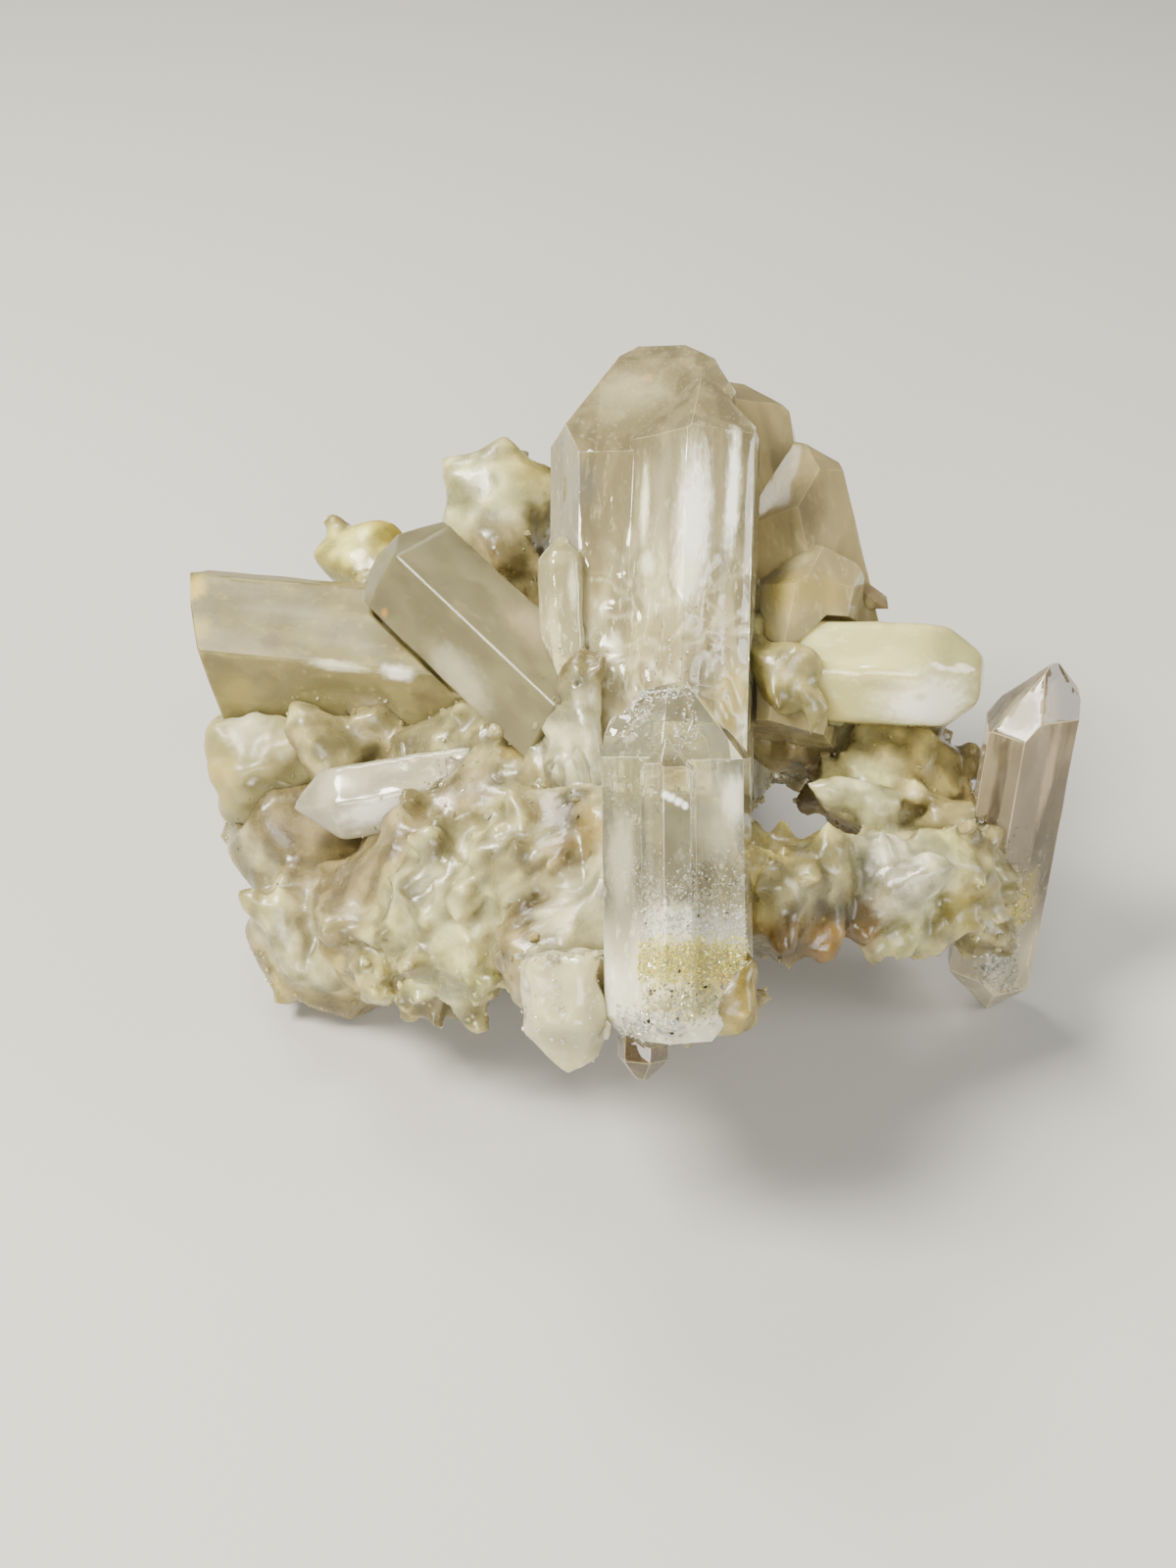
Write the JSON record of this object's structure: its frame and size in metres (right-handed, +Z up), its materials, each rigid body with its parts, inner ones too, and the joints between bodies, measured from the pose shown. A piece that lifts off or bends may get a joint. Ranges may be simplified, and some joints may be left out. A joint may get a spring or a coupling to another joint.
{
  "type": "quartz cluster",
  "caption": "Natural cluster of clear and milky quartz crystals on a lumpy, yellow-stained crust of small ones; it stands free as a display specimen.",
  "frame": {"origin": "on the surface that the cluster stands on, under the middle of its box", "axes": "+Z up, -Y the side that the picture shows, +X to the right in that view"},
  "size_m": [0.063, 0.0626, 0.0417],
  "materials": {
    "crust": "rough druse, cream to ochre, slightly translucent",
    "clear_quartz": "glassy, clear with veils and milky roots",
    "pink_tinted_quartz": "glassy, clear with a pinkish tan tint",
    "milky_quartz": "satin, milky white",
    "beige_quartz": "satin, cloudy beige",
    "olive_quartz": "satin, cloudy, olive and beige stained",
    "smoky_quartz": "glassy, smoky"
  },
  "bodies": {
    "root": {"matrix": "crust", "main_spire": "clear_quartz", "rear_right_crystals": "olive_quartz", "lateral_crystal": "milky_quartz", "far_right_crystal": "pink_tinted_quartz", "front_crystal": "clear_quartz", "front_white_crystal": "milky_quartz", "lower_tip": "smoky_quartz", "left_block": "beige_quartz", "leaning_crystal": "beige_quartz", "left_low_crystal": "milky_quartz", "left_chunk": "milky_quartz", "centre_crystal": "clear_quartz"}
  },
  "joints": []
}
